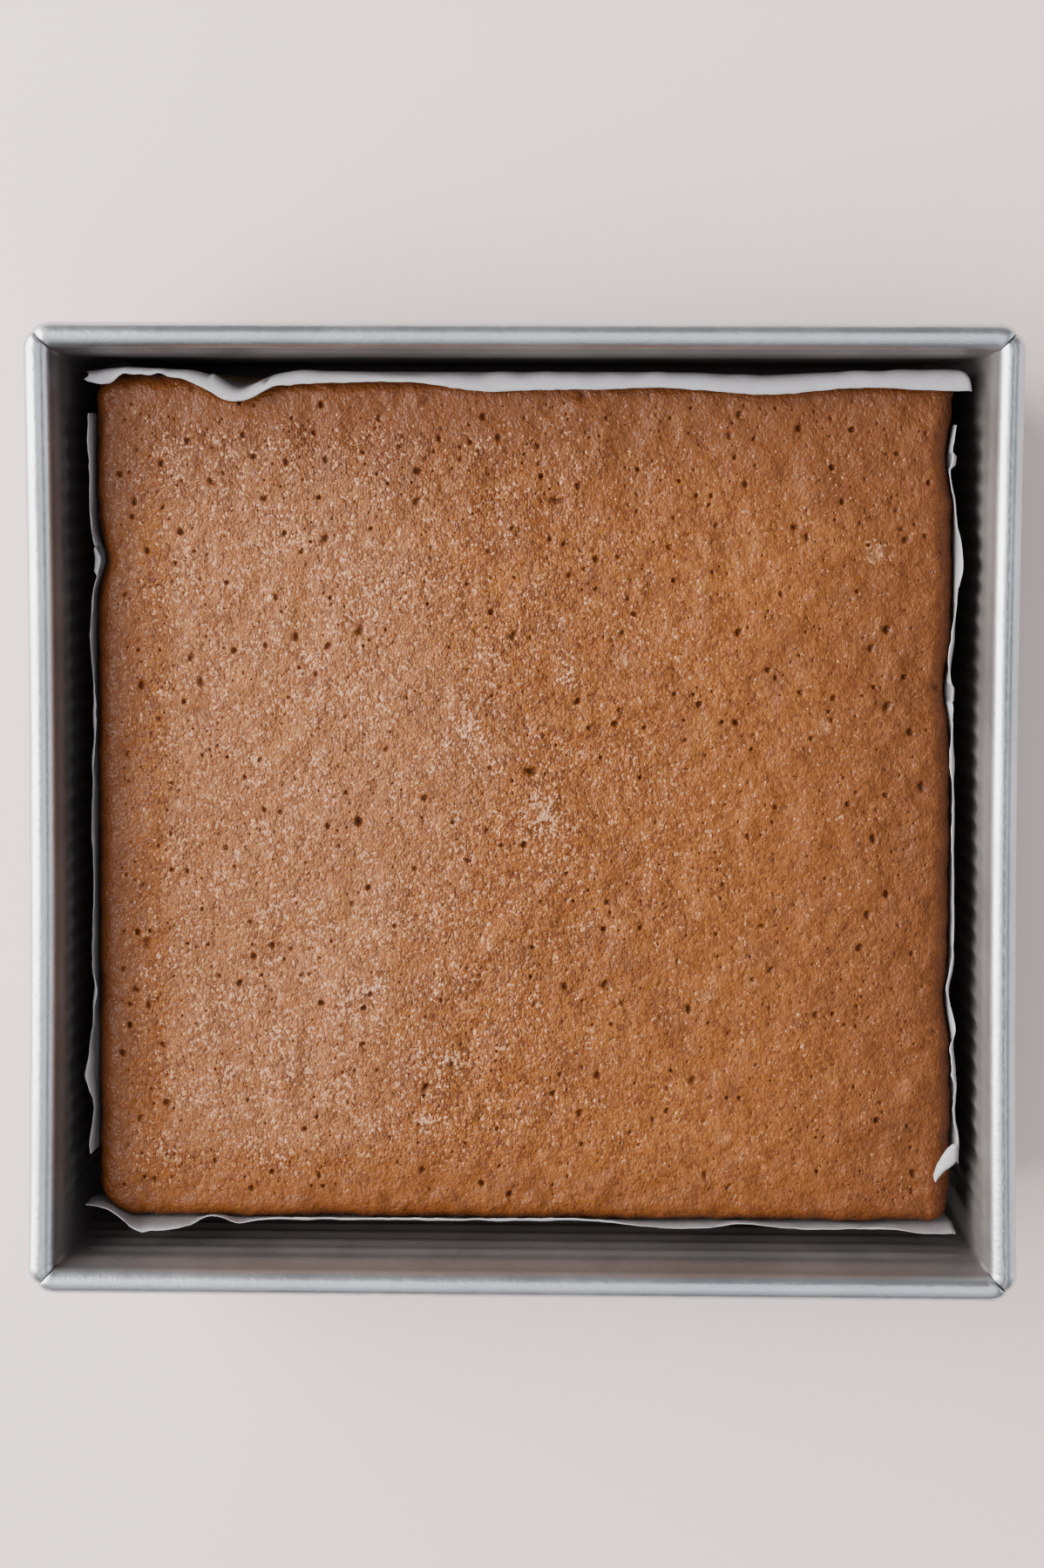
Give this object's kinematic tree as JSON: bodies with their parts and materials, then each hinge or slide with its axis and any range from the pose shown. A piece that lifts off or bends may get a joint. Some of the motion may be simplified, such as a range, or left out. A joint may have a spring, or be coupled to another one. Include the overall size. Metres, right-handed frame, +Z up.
{
  "type": "baked cake in a square pan",
  "caption": "Square spiced snack cake in its own light-gauge metal baking pan, lined with white parchment whose cut edges stand up around the cake.",
  "frame": {"origin": "middle of the box round the whole part, at the height of the surface that the pan stands on", "axes": "+Z up; +X along the front edge of the pan, to the right; +Y from the front to the back"},
  "size_m": [0.2224, 0.219, 0.057],
  "materials": {
    "cake_crust": "baked brown crust, fine and open-pored, faintly glossy",
    "parchment_paper": "thin white baking parchment, matt and slightly translucent",
    "pan_metal": "aluminised steel sheet, satin, lightly scuffed"
  },
  "bodies": {
    "root": {"cake": "cake_crust", "parchment": "parchment_paper", "pan": "pan_metal"}
  },
  "joints": []
}
